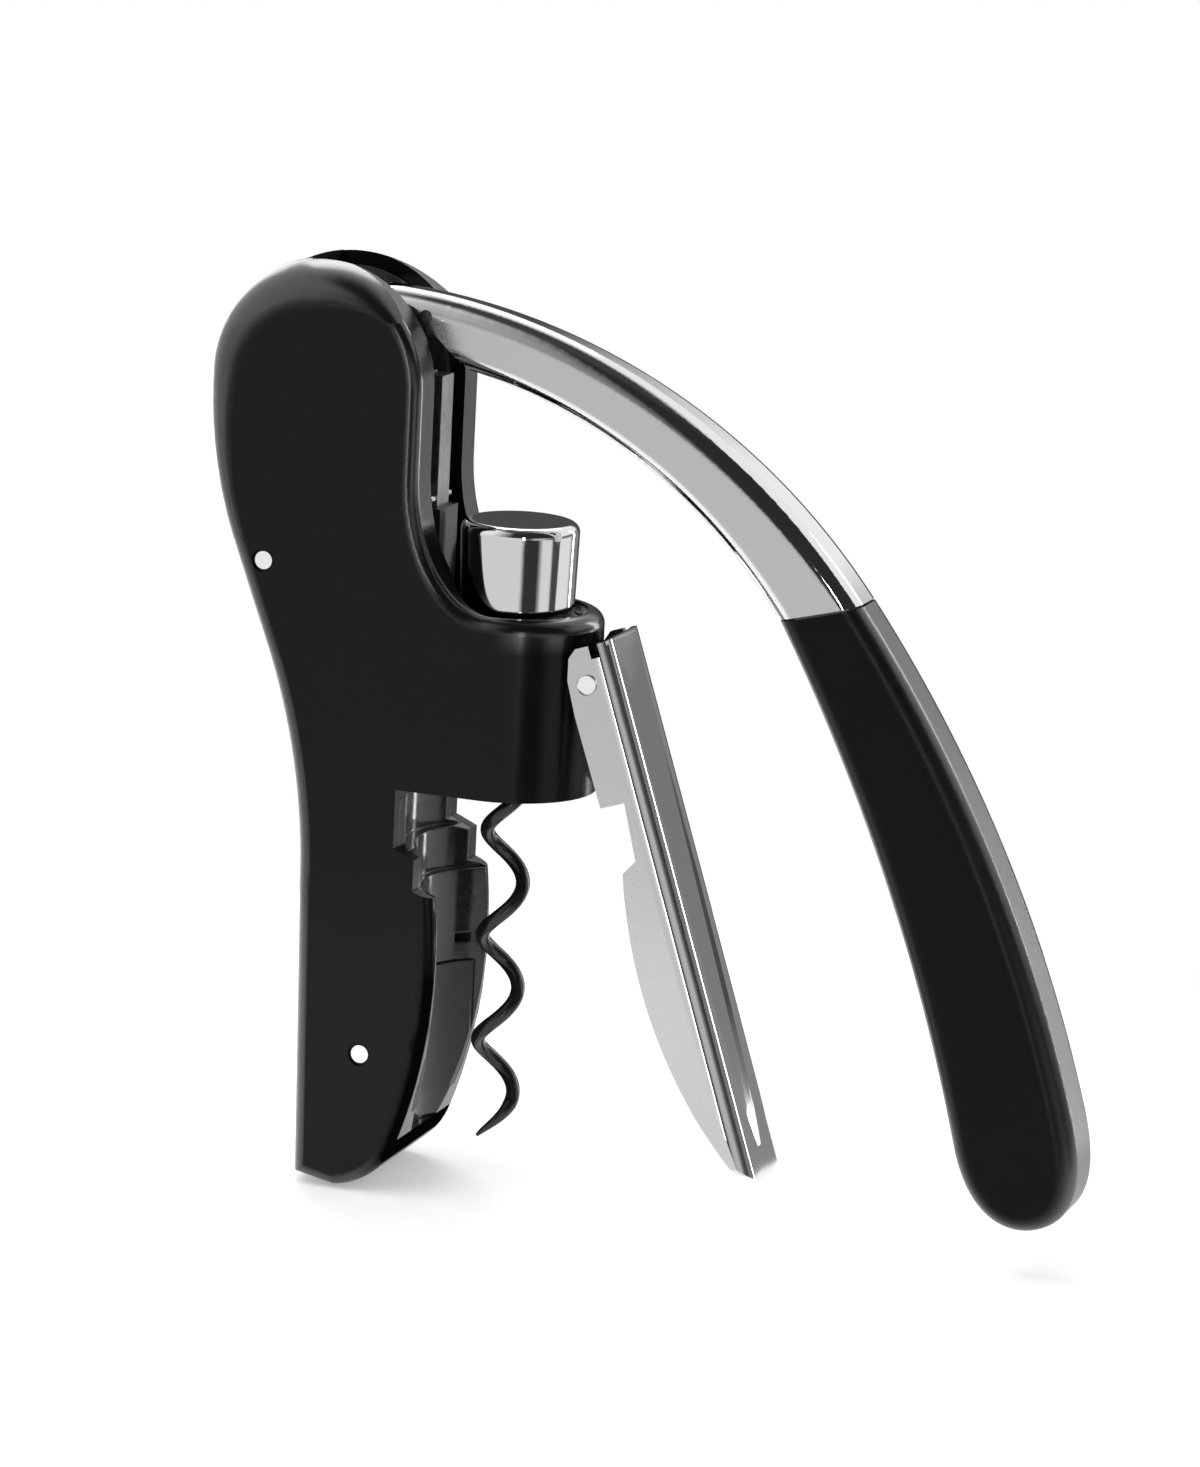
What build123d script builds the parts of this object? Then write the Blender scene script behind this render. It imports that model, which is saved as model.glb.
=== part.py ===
from build123d import *
from math import acos, cos, degrees, hypot, pi, radians, sin, tan
import os

# Frame: origin on the worm axis at the collar's underside, where the bottle lip seats.
# +Z runs up the worm axis, +X points to the front (lever and clamp side), Y runs across.
# All sizes are in millimetres.

# Body shells
half_body = 16.0
wall = 2.5
edge_round = 2.6
lobe_x = -36.3
lobe_z = 72.0
lobe_r = 21.5
front_x = lobe_x + lobe_r
sweep_height = 24.0
back_lean = 22.0
back_upper_r = 80.0
back_lower_r = 120.0
waist_z = 24.5
heel_x = -34.9
heel_z = -76.0
heel_r = 3.5
heel_bend = 68.0
heel_drop = 1.4
heel_run = 9.5
toe_x = -13.6
toe_z = -66.0
lip_edge_x = -15.8
lip_ledge_z = -11.7
rest_edge_x = -11.7
rest_ledge_z = -19.6
neck_edge_x = -8.4
slot_half = 7.7
slot_rear_x = -39.4
crown_depth = 11.0
crown_top = 8.5
crown_back = 4.5
crown_margin = 0.1
crown_room = 4.5
crown_cavity = 10.2

# Collar and what it holds
collar_r = half_body
collar_h = 33.0
bore_r = 13.0
sleeve_r = 12.0
sleeve_top = 31.7
nut_z = 1.6
nut_top = 6.0
nut_ring_z = 0.3
cork_r = 11.5
arm_slot_half = 4.9
slot_floor_z = 11.0
fit = 0.05
slide_gap = 0.4

# Pins through the body
pin_r = 1.65
pin_recess = 0.2
pin_ring = 0.4
pin_from_back = 7.6
upper_pin_z = 39.1
lower_pin_x = -20.7
lower_pin_z = -50.1
boss_r = 3.6
spacer_r = 3.0
ring_width = 0.55

# Side plates inside the shells
plate_in = 7.75
plate_out = 9.3
rail_x0 = -19.2
rail_x1 = -17.6
rail_in = 5.9
rail_z0 = 34.0
plate_z0 = 12.0
plate_gap = 0.25

# Lever hinge, gear and rack
tooth_module = 1.5
tooth_count = 29
gear_r = tooth_module * tooth_count / 2
pivot_x = -42.5
pivot_z = 70.0
axle_r = 3.0
hub_r = 8.0
washer_r = 5.6
gear_half = 2.8
flank_gap = 0.3
rack_top = 73.6
rack_bottom = 27.5
rack_front = -15.2
rack_half = 2.8

# Lever arm and grip
root_half = 5.4
arm_tail_x = -29.5
arm_tail_z = 80.0
arm_top_x = -24.0
arm_top_z = 89.0
arm_heel_x = -26.0
arm_heel_z = 79.5
arm_step_x = -16.2
arm_step_z = 81.5
arm_throat_x = -9.3
arm_throat_z = 75.0
bow_out_x = 24.1
bow_out_z = 75.8
bow_in_x = 26.8
bow_in_z = 59.9
joint_out_x = 65.8
joint_out_z = 41.1
joint_in_x = 50.8
joint_in_z = 37.0
tongue_length = 30.0
tongue_inset = 3.0
outer_round = 4.2
inner_round = 3.6
tang_tip_x = -14.8
tang_low_z = 82.4
tang_high_z = 86.0
tang_gap = 0.15
grip_out_x = 90.7
grip_out_z = 2.1
grip_in_x = 70.6
grip_in_z = -1.4
bulb_out_x = 110.2
bulb_out_z = -46.5
bulb_tip_x = 108.0
bulb_tip_z = -66.0
bulb_in_x = 89.0
bulb_in_z = -54.0
joint_half = 7.2
grip_half = 8.4
joint_gap = 0.4
rivet_r = 1.2
tongue_half = 4.5

# Worm carrier
carrier_r = sleeve_r - slide_gap
carrier_z = 12.0
carrier_top = 31.0
spigot_r = 9.2
spigot_top = 36.0
cap_r = 10.75
cap_top = 48.7
upright_half = 4.4
upright_front = -13.9
upright_top = 54.0
ear_half = 7.4
upright_back = -21.0
ear_back = -22.6
ear_z0 = 36.0
ear_z1 = 50.0
rack_pin_z = 51.3
rack_pin_r = 0.8
cap_round = 1.8
hub_room_r = 5.9
hub_room_top = 17.2

# Worm
worm_pitch = 19.8
worm_mark_z = -28.5
worm_mark_angle = 200.0
worm_r = 3.45
wire_r = 1.3
worm_tip_z = -66.0
worm_top_z = 13.0
taper = 6.0
hub_z = 8.0
hub_top = 16.8
worm_hub_r = 5.4
shank_r = 3.4
head_r = 5.6
head_z = 33.7
head_top = 36.7

# Clamp lever
clamp_stand = 1.6
clamp_x = collar_r + clamp_stand
clamp_z = 22.2
clamp_half = 10.0
clamp_skin = 1.3
lug_r = 2.6
lug_in = 2.9
lug_out = 7.0
clamp_top_x = clamp_x + 3.0
clamp_top_z = 30.3
clamp_end_x = clamp_x + 35.9
clamp_end_z = -66.5
clamp_bend_r = 3.5
end_rise = 4.5
flange_length = 102.2
ear_end = 28.9
ear_depth = 9.1
blade_start = 41.3
blade_end = 100.4
blade_depth = 10.4
pad_start = 58.0
pad_end = 83.0
rib_height = 2.2
tab_start = 90.0
tab_step = 0.15
tab_slope = 0.5
spring_r = 2.2
spring_wire_r = 0.3
spring_pitch = 1.2
spring_length = 4.2

# Neck cradle and pad
cradle_r = 15.0
rest_r = 16.6
lip_r = 19.0
cradle_back_x = -23.9
cradle_top = -2.0
pad_face_r = 14.3
pad_back_r = 16.2
pad_low = -61.0
pad_top = -37.0
pad_front_x = -9.4
pad_half_width = 12.0


def side_face(edges):
    """A face drawn in X and Z."""
    return make_face(Curve() + edges)


def across(face, y0, y1):
    """Push a face drawn in X and Z from y0 to y1."""
    return extrude(Plane.XZ.offset(-y1) * face, amount=y1 - y0)


def box(x0, x1, y0, y1, z0, z1):
    centre = ((x0 + x1) / 2, (y0 + y1) / 2, (z0 + z1) / 2)
    return Pos(*centre) * Box(x1 - x0, y1 - y0, z1 - z0)


def upright_rod(radius, z0, z1):
    return Pos(0, 0, (z0 + z1) / 2) * Cylinder(radius, z1 - z0)


def cross_rod(x, z, radius, y0, y1):
    return Pos(x, (y0 + y1) / 2, z) * Rot(90, 0, 0) * Cylinder(radius, y1 - y0)


def polar(angle, radius, x=pivot_x, z=pivot_z):
    return (x + radius * cos(radians(angle)), z + radius * sin(radians(angle)))


def chain(points):
    return [Line(a, b) for a, b in zip(points, points[1:] + points[:1])]


def save(name, shape):
    export_step(shape, f"parts/{name}.step")


os.makedirs("parts", exist_ok=True)

# Body shells: the side outline runs from the collar over the lobe, down the back and round the heel
turn = radians(back_lean)
lobe_left = lobe_x - lobe_r
waist_top = (lobe_left + back_upper_r * (1 - cos(turn)), lobe_z - back_upper_r * sin(turn))
waist_mid = (
    lobe_left + back_upper_r * (1 - cos(turn / 2)),
    lobe_z - back_upper_r * sin(turn / 2),
)
waist_low = (waist_top[0] + (waist_top[1] - waist_z) * tan(turn), waist_z)
spine = (
    waist_low[0] + back_lower_r * (1 - cos(turn)),
    waist_z - back_lower_r * sin(turn),
)
bend_mid = (
    spine[0] - back_lower_r * (1 - cos(turn / 2)),
    spine[1] + back_lower_r * sin(turn / 2),
)
upper_pin_x = waist_top[0] + (waist_top[1] - upper_pin_z) * tan(turn) + pin_from_back
heel_angle = radians(heel_bend)
heel_top = (heel_x, heel_z + heel_drop + heel_r * sin(heel_angle))
heel_mid = (
    heel_x + heel_r * (1 - cos(heel_angle / 2)),
    heel_top[1] - heel_r * sin(heel_angle / 2),
)
heel_low = (heel_x + heel_r * (1 - cos(heel_angle)), heel_z + heel_drop)
sole = (heel_x + heel_run, heel_z)
seam = ThreePointArc((toe_x, toe_z), (neck_edge_x + 0.1, -43), (neck_edge_x, rest_ledge_z))
sweep_z = collar_h + sweep_height
front_step = [
    (neck_edge_x, rest_ledge_z),
    (rest_edge_x, rest_ledge_z + 1.2),
    (rest_edge_x, lip_ledge_z - 0.9),
    (lip_edge_x, lip_ledge_z + 0.9),
    (lip_edge_x, 0),
]
block_edges = [
    Line((0, 0), (0, collar_h)),
    EllipticalCenterArc((0, sweep_z), -front_x, sweep_height, start_angle=180, arc_size=90),
    Line((front_x, sweep_z), (front_x, lobe_z)),
    ThreePointArc((front_x, lobe_z), (lobe_x, lobe_z + lobe_r), (lobe_left, lobe_z)),
    ThreePointArc((lobe_left, lobe_z), waist_mid, waist_top),
    Line(waist_top, waist_low),
    ThreePointArc(waist_low, bend_mid, spine),
    Line(spine, heel_top),
    ThreePointArc(heel_top, heel_mid, heel_low),
    Line(heel_low, sole),
    ThreePointArc(sole, (toe_x - 4.3, toe_z - 6.6), (toe_x, toe_z)),
    seam,
] + [Line(a, b) for a, b in zip(front_step, front_step[1:])] + [Line((lip_edge_x, 0), (0, 0))]
block_face = side_face(block_edges)
block = across(block_face, -half_body, 0)


def rounded_edge(edge):
    """True for the outer side edges that carry the large rounding."""
    middle = edge.center()
    front_low = rest_ledge_z - 0.1 < middle.Z < 1 and middle.X > lip_edge_x - 0.7
    return abs(middle.Y + half_body) < 0.01 and abs(middle.X) > 0.1 and not front_low


block = fillet(block.edges().filter_by(rounded_edge), edge_round)


foot_z = heel_z - 14
foot_x = spine[0] + (heel_top[0] - spine[0]) * (foot_z - spine[1]) / (heel_top[1] - spine[1])


def crown_section(angle):
    """Outline of the softly crowned head and back at one step of its rounding."""
    shrink = 1 - cos(radians(angle))
    depth = half_body - crown_depth + crown_depth * sin(radians(angle))
    start = lobe_r + crown_margin
    front = polar(0, start + 3, lobe_x, lobe_z)
    top_front = polar(45, start + 0.9 - 0.5 * crown_top * shrink, lobe_x, lobe_z)
    top = polar(90, start - crown_top * shrink, lobe_x, lobe_z)
    top_back = polar(135, start - 1.1 * crown_top * shrink, lobe_x, lobe_z)
    left = polar(180, start - crown_top * shrink, lobe_x, lobe_z)

    def inset(point, share):
        return (point[0] - crown_margin + share * crown_back * shrink, point[1])

    upper = inset(waist_mid, 1.4)
    waist = inset(waist_top, 1.2)
    bend_top = inset(waist_low, 1.1)
    bend = inset(bend_mid, 1.05)
    low = inset(spine, 1)
    foot = inset((foot_x, foot_z), 0.9)
    front_low = (collar_r + 20, foot_z)
    front_high = (collar_r + 20, lobe_z)
    edges = [
        ThreePointArc(front, top_front, top),
        ThreePointArc(top, top_back, left),
        ThreePointArc(left, upper, waist),
        Line(waist, bend_top),
        ThreePointArc(bend_top, bend, low),
        Line(low, foot),
        Line(foot, front_low),
        Line(front_low, front_high),
        Line(front_high, front),
    ]
    return Plane.XZ.offset(depth) * side_face(edges)


crown_side = loft([crown_section(a) for a in (0, 22.5, 45, 67.5, 90)])
crown = crown_side + box(-80, 40, -(half_body - crown_depth), 1, -95, 120)
block = block & crown
rim = [
    Line((0, 0), (collar_r, 0)),
    Line((collar_r, 0), (collar_r, collar_h - edge_round)),
    ThreePointArc(
        (collar_r, collar_h - edge_round),
        (
            collar_r - edge_round * (1 - cos(pi / 4)),
            collar_h - edge_round * (1 - sin(pi / 4)),
        ),
        (collar_r - edge_round, collar_h),
    ),
    Line((collar_r - edge_round, collar_h), (0, collar_h)),
    Line((0, collar_h), (0, 0)),
]
collar = revolve(Plane.XZ * make_face(Curve() + rim), Axis.Z, -90)


def lug(y0, y1):
    """Half of the clamp's hinge lug, standing on the collar's front."""
    foot = box(bore_r + 1, clamp_x, y0, y1, clamp_z - lug_r, clamp_z + lug_r)
    return foot + cross_rod(clamp_x, clamp_z, lug_r, y0, y1)


inner_y = half_body - wall
cavity_face = offset(block_face, amount=-wall, kind=Kind.ARC)
front_room = front_x - 2 * wall
cavity = across(cavity_face, -crown_cavity, 1) - box(front_x - wall, 40, -20, 2, -2, 120)
cavity += cross_rod(lobe_x, lobe_z, lobe_r - wall - crown_room, -inner_y, 1)
cavity += box(lobe_x, front_room, -inner_y, 1, waist_z, lobe_z)
cavity += box(heel_x + wall + crown_room, front_room, -inner_y, 1, lower_pin_z - 6, waist_z + 4)
pocket = box(cradle_back_x - 0.1, 4, -inner_y, 1, toe_z, cradle_top)
slot = box(-30, 1, -slot_half, 1, slot_floor_z, 60) + box(slot_rear_x, 1, -slot_half, 1, 60, 100)
swing_cut = across(
    side_face(chain([(pivot_x, pivot_z), polar(20, 60), polar(90, 60), polar(153, 60)])),
    -(root_half + 0.5),
    1,
)
boss = cross_rod(upper_pin_x, upper_pin_z, boss_r, -inner_y - 0.5, -plate_out - fit)


def pin_hole(x, z):
    """A through hole with the shallow ring that shows round the pin's end."""
    ring = cross_rod(x, z, pin_r + ring_width, -half_body - 1, -half_body + 0.5)
    return ring + cross_rod(x, z, pin_r + fit, -half_body - 1, 1)


left_shell = block + collar + lug(-lug_out, -lug_in)
left_shell -= cavity
left_shell -= pocket
left_shell += boss
left_shell -= slot
left_shell -= swing_cut
left_shell -= upright_rod(bore_r, -1, lobe_z)
left_shell -= cross_rod(clamp_x, clamp_z, spring_r + spring_wire_r + slide_gap, -lug_in, 1)
left_shell -= pin_hole(upper_pin_x, upper_pin_z)
left_shell -= pin_hole(lower_pin_x, lower_pin_z)
left_shell -= cross_rod(clamp_x, clamp_z, pin_r + fit, -20, 1)
right_shell = mirror(left_shell, about=Plane.XZ)

# Side plates that carry the lever axle and guide the carrier between two folded rails
plate_face = offset(block_face, amount=-(wall + plate_gap), kind=Kind.ARC)
left_plate = across(plate_face, -plate_out, -plate_in)
left_plate -= box(rail_x1, 40, -20, 0, -100, 120)
left_plate -= box(-80, 40, -20, 0, -100, plate_z0)
rail = box(rail_x0, rail_x1, -plate_out, -rail_in, rail_z0, 100)
left_plate += rail & across(plate_face, -plate_out, 0)
left_plate -= cross_rod(pivot_x, pivot_z, axle_r + fit, -20, 0)
left_plate -= cross_rod(upper_pin_x, upper_pin_z, pin_r + fit, -20, 0)
right_plate = mirror(left_plate, about=Plane.XZ)

# Pins and spacers of the body
pin_end = half_body - pin_recess
upper_pin = cross_rod(upper_pin_x, upper_pin_z, pin_r, -pin_end, pin_end)
lower_pin = cross_rod(lower_pin_x, lower_pin_z, pin_r, -pin_end, pin_end)
pin_spacer = cross_rod(upper_pin_x, upper_pin_z, spacer_r, -plate_in + fit, plate_in - fit)
pin_spacer -= cross_rod(upper_pin_x, upper_pin_z, pin_r + fit, -20, 20)
axle_end = plate_out + 1.5
lever_axle = cross_rod(pivot_x, pivot_z, axle_r, -axle_end, axle_end)
washer = cross_rod(pivot_x, pivot_z, washer_r, root_half + fit, plate_in - fit)
washer -= cross_rod(pivot_x, pivot_z, axle_r + fit, 0, 20)
axle_washers = Compound(children=[washer, mirror(washer, about=Plane.XZ)])

# Collar: steel guide sleeve, worm nut and the ring that keeps the nut in
guide_sleeve = upright_rod(bore_r - fit, nut_top + fit, sleeve_top)
guide_sleeve -= upright_rod(sleeve_r, 0, 40)
guide_sleeve -= box(-20, 0, -arm_slot_half, arm_slot_half, slot_floor_z, 40)
nut_ring = upright_rod(bore_r - fit, nut_ring_z, nut_z - fit) - upright_rod(cork_r, -1, nut_z)


def worm_angle(z):
    return worm_mark_angle + 360 * (z - worm_mark_z) / worm_pitch


def worm_path(z0, z1):
    """The wire's centre line between two heights."""
    helix = Helix(worm_pitch, z1 - z0, worm_r)
    return Pos(0, 0, z0) * Rot(0, 0, worm_angle(z0)) * helix


def wire(z0, z1, radius):
    path = worm_path(z0, z1)
    return sweep(Plane(path @ 0, z_dir=path % 0) * Circle(radius), path=path, is_frenet=True)


worm_nut = upright_rod(bore_r - fit, nut_z, nut_top)
worm_nut -= wire(nut_z - 5, nut_top + 5, wire_r + slide_gap)

# Neck cradle and its rubber pad
cradle_face = side_face(
    [
        seam,
        *[Line(a, b) for a, b in zip(front_step, front_step[1:-1])],
        Line(front_step[-2], (lip_edge_x, cradle_top - fit)),
        Line((lip_edge_x, cradle_top - fit), (cradle_back_x, cradle_top - fit)),
        Line((cradle_back_x, cradle_top - fit), (cradle_back_x, toe_z + fit)),
        Line((cradle_back_x, toe_z + fit), (toe_x, toe_z + fit)),
        Line((toe_x, toe_z + fit), (toe_x, toe_z)),
    ]
)
neck_cradle = across(cradle_face, -inner_y + fit, inner_y - fit)
neck_cradle -= upright_rod(lip_r, lip_ledge_z, 5)
neck_cradle -= upright_rod(rest_r, rest_ledge_z, 5)
neck_cradle -= upright_rod(cradle_r, -80, 5)
pad_block = box(-20, pad_front_x, -pad_half_width, pad_half_width, -70, 0)
neck_cradle -= upright_rod(pad_back_r, pad_low, pad_top) & pad_block
neck_cradle -= box(-20, -10, 8.6, 11.2, -33.6, -31.8) + box(-20, -10, -11.2, -8.6, -33.6, -31.8)
neck_cradle -= cross_rod(lower_pin_x, lower_pin_z, pin_r + fit, -20, 20)
neck_pad = upright_rod(pad_back_r - fit, pad_low + fit, pad_top - fit)
neck_pad -= upright_rod(pad_face_r, -80, 5)
neck_pad &= across(cradle_face, -inner_y, inner_y)
neck_pad &= box(-20, pad_front_x - fit, -pad_half_width + fit, pad_half_width - fit, -70, 0)

# Lever: steel quadrant with hub and teeth, chrome arm, grip and rivets
pressure = radians(20)
base_r = gear_r * cos(pressure)
tip_r = gear_r + tooth_module
root_r = gear_r - 1.25 * tooth_module
steps = 4


def flank(radius):
    """Half angle of a tooth at one radius."""
    lean = acos(min(1, base_r / radius))
    return pi / (2 * tooth_count) + tan(pressure) - pressure - (tan(lean) - lean)


def tooth(angle):
    radii = [base_r + (tip_r - base_r) * i / steps for i in range(steps + 1)]
    right = [polar(angle - degrees(flank(r)), r) for r in radii]
    left = [polar(angle + degrees(flank(r)), r) for r in reversed(radii)]
    foot = [polar(angle + degrees(flank(base_r)), root_r - 1)]
    heel = [polar(angle - degrees(flank(base_r)), root_r - 1)]
    return side_face(chain(right + left + foot + heel))


tooth_step = 360 / tooth_count
sector_top = 8.0
sector_low = -105.0
sector = side_face(
    [
        Line((pivot_x, pivot_z), polar(sector_low, root_r)),
        ThreePointArc(
            polar(sector_low, root_r),
            polar((sector_low + sector_top) / 2, root_r),
            polar(sector_top, root_r),
        ),
        Line(polar(sector_top, root_r), (pivot_x, pivot_z)),
    ]
)
tang_points = [
    (pivot_x + 6.5, pivot_z + 4.5),
    (arm_heel_x, arm_heel_z + 0.9),
    (tang_tip_x, tang_low_z),
    (tang_tip_x, tang_high_z),
    (arm_heel_x - 1, tang_high_z),
    (pivot_x + 0.5, pivot_z + hub_r),
]
lever_quadrant = across(sector, -gear_half, gear_half)
for i in range(9):
    lever_quadrant += across(tooth(-i * tooth_step), -gear_half, gear_half)
lever_quadrant += across(side_face(chain(tang_points)), -gear_half, gear_half)
lever_quadrant += cross_rod(pivot_x, pivot_z, hub_r, -root_half, root_half)
lever_quadrant -= cross_rod(pivot_x, pivot_z, axle_r + fit, -20, 20)
rivet_z = (tang_low_z + tang_high_z) / 2
rivet_spots = [(arm_heel_x + 1.5, rivet_z - 1), (tang_tip_x - 3.2, rivet_z + 0.2)]
for x, z in rivet_spots:
    lever_quadrant -= cross_rod(x, z, rivet_r + fit, -20, 20)

joint_out = (joint_out_x, joint_out_z)
joint_in = (joint_in_x, joint_in_z)
arm_throat = (arm_throat_x, arm_throat_z)
arm_top = (arm_top_x, arm_top_z)
arm_back = [
    arm_throat,
    (arm_step_x, arm_step_z),
    (arm_heel_x, arm_heel_z),
    (arm_tail_x, arm_tail_z),
    (arm_tail_x, arm_top_z - 0.2),
    arm_top,
]
arm_face = side_face(
    [
        ThreePointArc(arm_top, (bow_out_x, bow_out_z), joint_out),
        Line(joint_out, joint_in),
        ThreePointArc(joint_in, (bow_in_x, bow_in_z), arm_throat),
        *[Line(a, b) for a, b in zip(arm_back, arm_back[1:])],
    ]
)
arm_front_x = joint_out_x + 1.2
arm_rear_x = arm_tail_x - 1.5
slot_mouth_x = arm_step_x + 1.2
plan_points = [
    (arm_rear_x, -root_half),
    (slot_mouth_x, -root_half),
    (arm_front_x, -joint_half),
    (arm_front_x, joint_half),
    (slot_mouth_x, root_half),
    (arm_rear_x, root_half),
]
plan = make_face(Curve() + chain(plan_points))
arm_bar = extrude(Pos(0, 0, joint_in_z - 5) * plan, amount=arm_top_z - joint_in_z + 10)
lever_arm = across(arm_face, -joint_half - 1, joint_half + 1) & arm_bar


def long_edges(edge):
    """Side edges that run along the lever."""
    middle = edge.center()
    return abs(middle.Y) > 4 and edge.length > 20


side_edges = lever_arm.edges().filter_by(long_edges).sort_by(Axis.Z)
lever_arm = fillet(side_edges[-2:], outer_round)
side_edges = lever_arm.edges().filter_by(long_edges).sort_by(Axis.Z)
lever_arm = fillet(side_edges[:2], inner_round)
joint_run = (joint_out_x - joint_in_x, joint_out_z - joint_in_z)
joint_length = hypot(*joint_run)
joint_dir = (joint_run[0] / joint_length, joint_run[1] / joint_length)
grip_dir = (grip_out_x - joint_out_x, grip_out_z - joint_out_z)
grip_lean = hypot(*grip_dir)
down = (grip_dir[0] / grip_lean, grip_dir[1] / grip_lean)


def by_joint(inset, depth):
    """A point along the joint's inner-to-outer line, at a depth down the grip."""
    return (
        joint_in_x + joint_dir[0] * inset + down[0] * depth,
        joint_in_z + joint_dir[1] * inset + down[1] * depth,
    )


tongue_points = [
    by_joint(tongue_inset, -tongue_inset),
    by_joint(joint_length - tongue_inset, -tongue_inset),
    by_joint(joint_length - tongue_inset, tongue_length),
    by_joint(tongue_inset, tongue_length),
]
lever_arm += across(side_face(chain(tongue_points)), -tongue_half, tongue_half)
tang_pocket = offset(side_face(chain(tang_points)), amount=tang_gap, kind=Kind.INTERSECTION)
lever_arm -= across(tang_pocket, -gear_half - fit, gear_half + fit)
for x, z in rivet_spots:
    lever_arm -= cross_rod(x, z, rivet_r + fit, -20, 20)
arm_rivets = Compound(
    children=[cross_rod(x, z, rivet_r, -root_half + 0.1, root_half - 0.1) for x, z in rivet_spots]
)

grip_top_out = by_joint(joint_length, joint_gap)
grip_top_in = by_joint(0, joint_gap)
bulb_out = (bulb_out_x, bulb_out_z)
bulb_tip = (bulb_tip_x, bulb_tip_z)
bulb_in = (bulb_in_x, bulb_in_z)


grip_back = ThreePointArc(grip_top_out, (grip_out_x, grip_out_z), bulb_out)
grip_front = ThreePointArc(bulb_in, (grip_in_x, grip_in_z), grip_top_in)
bulb = Spline(bulb_out, bulb_tip, bulb_in, tangents=[grip_back % 1, grip_front % 0])
grip_face = side_face([grip_back, bulb, grip_front, Line(grip_top_in, grip_top_out)])
grip_high = joint_out_z + 5
grip_low = bulb_tip_z - 5
grip_plan_points = [
    (-joint_half, grip_high),
    (joint_half, grip_high),
    (grip_half, grip_low),
    (-grip_half, grip_low),
]
grip_plan = Plane.YZ.offset(joint_in_x - 10) * make_face(Curve() + chain(grip_plan_points))
grip_bar = extrude(grip_plan, amount=bulb_out_x - joint_in_x + 20)
lever_grip = across(grip_face, -grip_half - 1, grip_half + 1) & grip_bar


def grip_edges(edge):
    middle = edge.center()
    return abs(middle.Y) > 4 and middle.Z < joint_in_z - 0.7


lever_grip = fillet(lever_grip.edges().filter_by(grip_edges), outer_round)
socket = offset(side_face(chain(tongue_points)), amount=0.1, kind=Kind.INTERSECTION)
lever_grip -= across(socket, -tongue_half - 0.1, tongue_half + 0.1)

# Worm carrier: slider in the sleeve, upright in the slot, rack, cap and thrust washer
rack_x = pivot_x + gear_r
rack_pitch = pi * tooth_module
rack_root = rack_x + 1.25 * tooth_module
rack = box(rack_root, rack_front, -rack_half, rack_half, rack_bottom, rack_top)
half_tooth = rack_pitch / 4 - flank_gap / cos(pressure)


def rack_tooth(z):
    tip = half_tooth - tooth_module * tan(pressure)
    root = half_tooth + 1.25 * tooth_module * tan(pressure)
    points = [
        (rack_root + 0.5, z - root),
        (rack_root, z - root),
        (rack_x - tooth_module, z - tip),
        (rack_x - tooth_module, z + tip),
        (rack_root, z + root),
        (rack_root + 0.5, z + root),
    ]
    return across(side_face(chain(points)), -rack_half, rack_half)


for i in range(10):
    rack += rack_tooth(pivot_z + (0.5 - i) * rack_pitch)
rack_pin_x = rack_front - rack_pin_r - 0.2
rack -= cross_rod(rack_pin_x, rack_pin_z, rack_pin_r + fit, -20, 20)
rack_pin = cross_rod(rack_pin_x, rack_pin_z, rack_pin_r, -upright_half - 0.5, upright_half + 0.5)

carrier = upright_rod(carrier_r, carrier_z, carrier_top)
carrier += upright_rod(spigot_r, carrier_top - 1, spigot_top)
carrier += box(upright_front - 1, -5, -upright_half, upright_half, carrier_z + 1, carrier_top)
carrier += box(upright_back, upright_front, -upright_half, upright_half, carrier_z + 1, upright_top)
for side in (-1, 1):
    y0, y1 = sorted((side * (upright_half - 0.5), side * ear_half))
    carrier += box(ear_back, rail_x0 - slide_gap, y0, y1, ear_z0, ear_z1)
carrier -= box(-30, rack_front + fit, -rack_half - fit, rack_half + fit, rack_bottom - fit, 60)
carrier -= cross_rod(rack_pin_x, rack_pin_z, rack_pin_r + fit, -20, 20)
carrier -= box(rack_pin_x, 0, -20, 20, rack_pin_z - 2 * rack_pin_r, 60)
carrier -= upright_rod(shank_r + fit, 0, 60)
carrier -= upright_rod(hub_room_r, 0, hub_room_top)
carrier -= upright_rod(head_r + 0.5, head_z - 0.6, 60)

cap_side = cap_r - cap_round
cap_profile = [
    Line((0, cap_top), (cap_side, cap_top)),
    ThreePointArc(
        (cap_side, cap_top),
        (cap_side + cap_round * sin(pi / 4), cap_top - cap_round * (1 - cos(pi / 4))),
        (cap_r, cap_top - cap_round),
    ),
    Line((cap_r, cap_top - cap_round), (cap_r - 0.4, carrier_top + fit)),
    Line((cap_r - 0.4, carrier_top + fit), (0, carrier_top + fit)),
    Line((0, carrier_top + fit), (0, cap_top)),
]
carrier_cap = revolve(Plane.XZ * make_face(Curve() + cap_profile), Axis.Z, 360)
carrier_cap -= upright_rod(spigot_r + fit, 0, spigot_top + fit)
carrier_cap -= upright_rod(head_r + 0.5, 0, head_top + 1.2)
thrust_washer = upright_rod(head_r, head_z - 0.55, head_z - 0.05) - upright_rod(shank_r + 0.1, 0, 60)

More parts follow.
